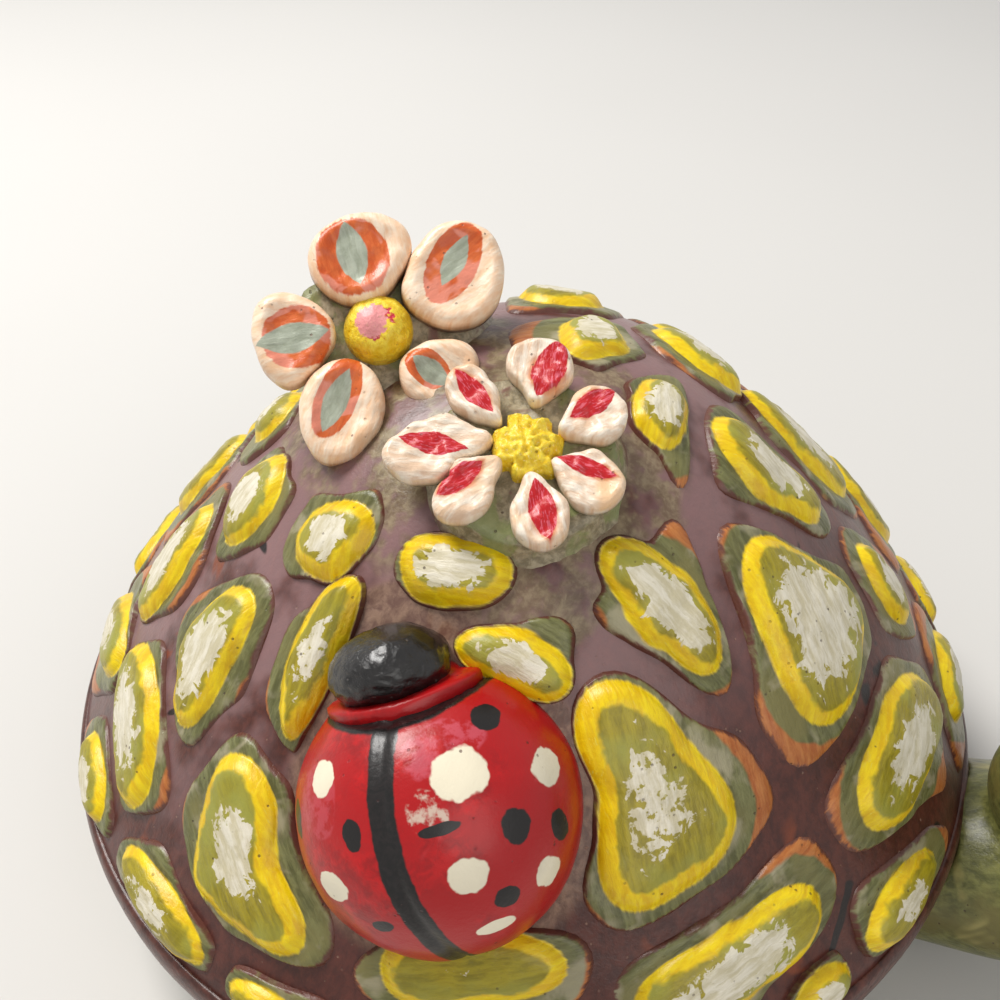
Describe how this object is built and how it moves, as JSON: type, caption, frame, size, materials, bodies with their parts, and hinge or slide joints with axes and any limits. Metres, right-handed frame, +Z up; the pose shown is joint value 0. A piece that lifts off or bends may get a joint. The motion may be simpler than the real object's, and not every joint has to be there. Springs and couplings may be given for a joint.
{
  "type": "turtle figurine",
  "caption": "Hand-built clay turtle with a domed, hand-painted shell of raised scutes, flowers at the crown and a ladybug on its flank; a free-standing ornament.",
  "frame": {"origin": "on the ground under the middle of the shell, at the middle of the belly's flat underside", "axes": "+X towards the head along the turtle's length, +Z up, +Y to the turtle's left"},
  "size_m": [0.2278, 0.171, 0.1136],
  "materials": {
    "brown_valleys": "satin varnish over brushed brown paint",
    "painted_scutes": "satin varnish over green, yellow, olive and white brush strokes",
    "brown_rim": "satin varnish, orange-brown streaks on the lower band",
    "painted_belly": "satin varnish over olive-brown paint",
    "olive_skin": "satin varnish over mottled olive paint",
    "black_eyes": "gloss",
    "ladybug_red": "gloss, black and white dots",
    "ladybug_black": "gloss",
    "green_mounds": "satin varnish over grey-green paint",
    "yellow_centres": "thick yellow paint",
    "peach_petals": "cream rim, orange inside, grey-green core",
    "cream_petals": "cream with a red core"
  },
  "bodies": {
    "root": {"belly_plate": "painted_belly", "crown_scute_1": "painted_scutes", "crown_scute_2": "painted_scutes", "crown_scute_3": "painted_scutes", "crown_scute_4": "painted_scutes", "far_flank_scutes": "painted_scutes", "far_rim_scutes": "painted_scutes", "far_upper_scutes": "painted_scutes", "flank_scute_1": "painted_scutes", "flank_scute_2": "painted_scutes", "flank_scute_3": "painted_scutes", "flank_scute_4": "painted_scutes", "flank_scute_5": "painted_scutes", "flank_scute_6": "painted_scutes", "flank_scute_7": "painted_scutes", "front_left_leg": "olive_skin", "front_right_leg": "olive_skin", "head": "olive_skin", "ladybug_body": "ladybug_red", "ladybug_collar": "ladybug_red", "ladybug_head": "ladybug_black", "large_flower_button": "yellow_centres", "large_flower_mound": "green_mounds", "large_petal_bottom": "peach_petals", "large_petal_front": "peach_petals", "large_petal_lower": "peach_petals", "large_petal_rear": "peach_petals", "large_petal_top": "peach_petals", "left_eye": "black_eyes", "lower_scute_1": "painted_scutes", "lower_scute_2": "painted_scutes", "lower_scute_3": "painted_scutes", "lower_scute_4": "painted_scutes", "lower_scute_5": "painted_scutes", "near_rim_scutes": "painted_scutes", "neck": "olive_skin", "rear_left_leg": "olive_skin", "rear_right_leg": "olive_skin", "right_eye": "black_eyes", "rim_coil": "brown_rim", "shell_dome": "brown_valleys", "small_flower_button": "yellow_centres", "small_flower_mound": "green_mounds", "small_petal_1": "cream_petals", "small_petal_2": "cream_petals", "small_petal_3": "cream_petals", "small_petal_4": "cream_petals", "small_petal_5": "cream_petals", "small_petal_6": "cream_petals", "small_petal_7": "cream_petals", "tail": "olive_skin", "upper_scute_1": "painted_scutes", "upper_scute_2": "painted_scutes", "upper_scute_3": "painted_scutes", "upper_scute_4": "painted_scutes", "upper_scute_5": "painted_scutes", "upper_scute_6": "painted_scutes", "upper_scute_7": "painted_scutes"}
  },
  "joints": []
}
